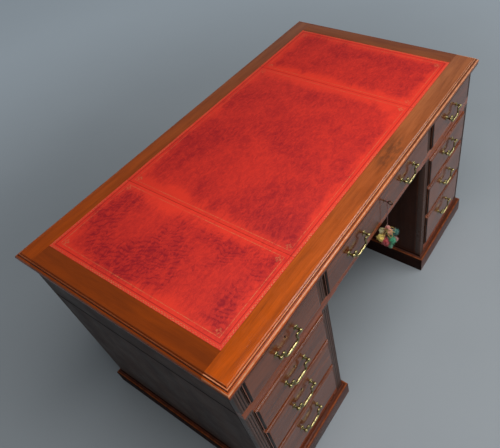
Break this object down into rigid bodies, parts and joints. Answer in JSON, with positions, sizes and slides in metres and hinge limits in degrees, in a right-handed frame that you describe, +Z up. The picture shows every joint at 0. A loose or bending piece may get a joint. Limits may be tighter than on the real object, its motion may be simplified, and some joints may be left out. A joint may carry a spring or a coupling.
{
  "type": "writing desk with drawers",
  "caption": "Twin-pedestal kneehole writing desk with a leather-lined moulded top, lip-moulded drawers, swan-neck bail handles and a key in the kneehole drawer's lock.",
  "frame": {"origin": "on the floor, below the middle of the desk's outline in plan", "axes": "+Z up, +X along the desk's length to the sitter's right, drawers open towards -Y"},
  "size_m": [1.37, 0.7939, 0.774],
  "materials": {
    "border_wood": "polished mahogany, golden brown, waxed",
    "carcass_wood": "polished mahogany, dark red-brown",
    "front_wood": "polished mahogany, dark brown, mirror sheen",
    "plinth_wood": "polished mahogany, dark red-brown",
    "pine": "planed softwood, unpolished",
    "leather": "red hide with darker mottling and gold tooling, satin",
    "brass": "worn cast brass",
    "steel": "dull steel",
    "silk": "silk thread"
  },
  "bodies": {
    "desk": {"top_front_board": "border_wood", "top_back_board": "border_wood", "top_left_board": "border_wood", "top_right_board": "border_wood", "top_ground": "pine", "leather_left": "leather", "leather_centre": "leather", "leather_right": "leather", "upper_face_frame": "carcass_wood", "upper_right_side": "carcass_wood", "upper_left_side": "carcass_wood", "upper_back": "carcass_wood", "upper_base": "pine", "upper_left_partition": "pine", "upper_right_partition": "pine", "left_pedestal_outer_side": "carcass_wood", "left_pedestal_inner_side": "carcass_wood", "left_pedestal_face_frame": "carcass_wood", "left_pedestal_back": "carcass_wood", "left_pedestal_bottom": "pine", "left_pedestal_plinth": "plinth_wood", "right_pedestal_outer_side": "carcass_wood", "right_pedestal_inner_side": "carcass_wood", "right_pedestal_face_frame": "carcass_wood", "right_pedestal_back": "carcass_wood", "right_pedestal_bottom": "pine", "right_pedestal_plinth": "plinth_wood"},
    "left_lower_drawer": {"left_lower_drawer_front": "front_wood", "left_lower_drawer_box": "pine"},
    "left_lower_bail": {"left_lower_bail": "brass"},
    "left_middle_drawer": {"left_middle_drawer_front": "front_wood", "left_middle_drawer_box": "pine"},
    "left_middle_bail": {"left_middle_bail": "brass"},
    "left_upper_drawer": {"left_upper_drawer_front": "front_wood", "left_upper_drawer_box": "pine"},
    "left_upper_bail": {"left_upper_bail": "brass"},
    "frieze_left_drawer": {"frieze_left_drawer_front": "front_wood", "frieze_left_drawer_box": "pine"},
    "frieze_left_bail": {"frieze_left_bail": "brass"},
    "right_lower_drawer": {"right_lower_drawer_front": "front_wood", "right_lower_drawer_box": "pine"},
    "right_lower_bail": {"right_lower_bail": "brass"},
    "right_middle_drawer": {"right_middle_drawer_front": "front_wood", "right_middle_drawer_box": "pine"},
    "right_middle_bail": {"right_middle_bail": "brass"},
    "right_upper_drawer": {"right_upper_drawer_front": "front_wood", "right_upper_drawer_box": "pine"},
    "right_upper_bail": {"right_upper_bail": "brass"},
    "frieze_right_drawer": {"frieze_right_drawer_front": "front_wood", "frieze_right_drawer_box": "pine"},
    "frieze_right_bail": {"frieze_right_bail": "brass"},
    "frieze_centre_drawer": {"frieze_centre_drawer_front": "front_wood", "frieze_centre_drawer_box": "pine", "lock_case": "steel"},
    "frieze_centre_bail_left": {"frieze_centre_bail_left": "brass"},
    "frieze_centre_bail_right": {"frieze_centre_bail_right": "brass"},
    "lock_bolt": {"lock_bolt": "steel"},
    "key": {"key": "brass"},
    "fob": {"fob_cord": "silk", "fob": "silk"}
  },
  "joints": [
    {"name": "left_lower_drawer_slide", "type": "slide", "parent": "desk", "child": "left_lower_drawer", "axis": [0, -1, 0], "range_m": [0, 0.4]},
    {"name": "left_lower_bail_swing", "type": "hinge", "parent": "left_lower_drawer", "child": "left_lower_bail", "pos_m": [-0.4895, -0.37338, 0.21], "axis": [-1, 0, 0], "range_deg": [0, 110]},
    {"name": "left_middle_drawer_slide", "type": "slide", "parent": "desk", "child": "left_middle_drawer", "axis": [0, -1, 0], "range_m": [0, 0.4]},
    {"name": "left_middle_bail_swing", "type": "hinge", "parent": "left_middle_drawer", "child": "left_middle_bail", "pos_m": [-0.4895, -0.37338, 0.375], "axis": [-1, 0, 0], "range_deg": [0, 110]},
    {"name": "left_upper_drawer_slide", "type": "slide", "parent": "desk", "child": "left_upper_drawer", "axis": [0, -1, 0], "range_m": [0, 0.4]},
    {"name": "left_upper_bail_swing", "type": "hinge", "parent": "left_upper_drawer", "child": "left_upper_bail", "pos_m": [-0.4895, -0.37338, 0.522], "axis": [-1, 0, 0], "range_deg": [0, 110]},
    {"name": "frieze_left_drawer_slide", "type": "slide", "parent": "desk", "child": "frieze_left_drawer", "axis": [0, -1, 0], "range_m": [0, 0.4]},
    {"name": "frieze_left_bail_swing", "type": "hinge", "parent": "frieze_left_drawer", "child": "frieze_left_bail", "pos_m": [-0.4895, -0.37338, 0.676], "axis": [-1, 0, 0], "range_deg": [0, 110]},
    {"name": "right_lower_drawer_slide", "type": "slide", "parent": "desk", "child": "right_lower_drawer", "axis": [0, -1, 0], "range_m": [0, 0.4]},
    {"name": "right_lower_bail_swing", "type": "hinge", "parent": "right_lower_drawer", "child": "right_lower_bail", "pos_m": [0.4895, -0.37338, 0.21], "axis": [-1, 0, 0], "range_deg": [0, 110]},
    {"name": "right_middle_drawer_slide", "type": "slide", "parent": "desk", "child": "right_middle_drawer", "axis": [0, -1, 0], "range_m": [0, 0.4]},
    {"name": "right_middle_bail_swing", "type": "hinge", "parent": "right_middle_drawer", "child": "right_middle_bail", "pos_m": [0.4895, -0.37338, 0.375], "axis": [-1, 0, 0], "range_deg": [0, 110]},
    {"name": "right_upper_drawer_slide", "type": "slide", "parent": "desk", "child": "right_upper_drawer", "axis": [0, -1, 0], "range_m": [0, 0.4]},
    {"name": "right_upper_bail_swing", "type": "hinge", "parent": "right_upper_drawer", "child": "right_upper_bail", "pos_m": [0.4895, -0.37338, 0.522], "axis": [-1, 0, 0], "range_deg": [0, 110]},
    {"name": "frieze_right_drawer_slide", "type": "slide", "parent": "desk", "child": "frieze_right_drawer", "axis": [0, -1, 0], "range_m": [0, 0.4]},
    {"name": "frieze_right_bail_swing", "type": "hinge", "parent": "frieze_right_drawer", "child": "frieze_right_bail", "pos_m": [0.4895, -0.37338, 0.676], "axis": [-1, 0, 0], "range_deg": [0, 110]},
    {"name": "frieze_centre_drawer_slide", "type": "slide", "parent": "desk", "child": "frieze_centre_drawer", "axis": [0, -1, 0], "range_m": [0, 0.4]},
    {"name": "frieze_centre_bail_left_swing", "type": "hinge", "parent": "frieze_centre_drawer", "child": "frieze_centre_bail_left", "pos_m": [-0.156, -0.37338, 0.676], "axis": [-1, 0, 0], "range_deg": [0, 110]},
    {"name": "frieze_centre_bail_right_swing", "type": "hinge", "parent": "frieze_centre_drawer", "child": "frieze_centre_bail_right", "pos_m": [0.156, -0.37338, 0.676], "axis": [-1, 0, 0], "range_deg": [0, 110]},
    {"name": "key_turn", "type": "hinge", "parent": "frieze_centre_drawer", "child": "key", "pos_m": [0, -0.35938, 0.697], "axis": [0, 1, 0], "range_deg": [0, 180]},
    {"name": "lock_bolt_throw", "type": "slide", "parent": "frieze_centre_drawer", "child": "lock_bolt", "axis": [0, 0, 1], "range_m": [0, 0.006]},
    {"name": "fob_swing", "type": "hinge", "parent": "frieze_centre_drawer", "child": "fob", "pos_m": [0, -0.37138, 0.697], "axis": [0, 1, 0], "range_deg": [-20, 20]}
  ],
  "couplings": [
    {"joint": "key_turn", "follows": "lock_bolt_throw", "rad_per_m": 523.5}
  ]
}
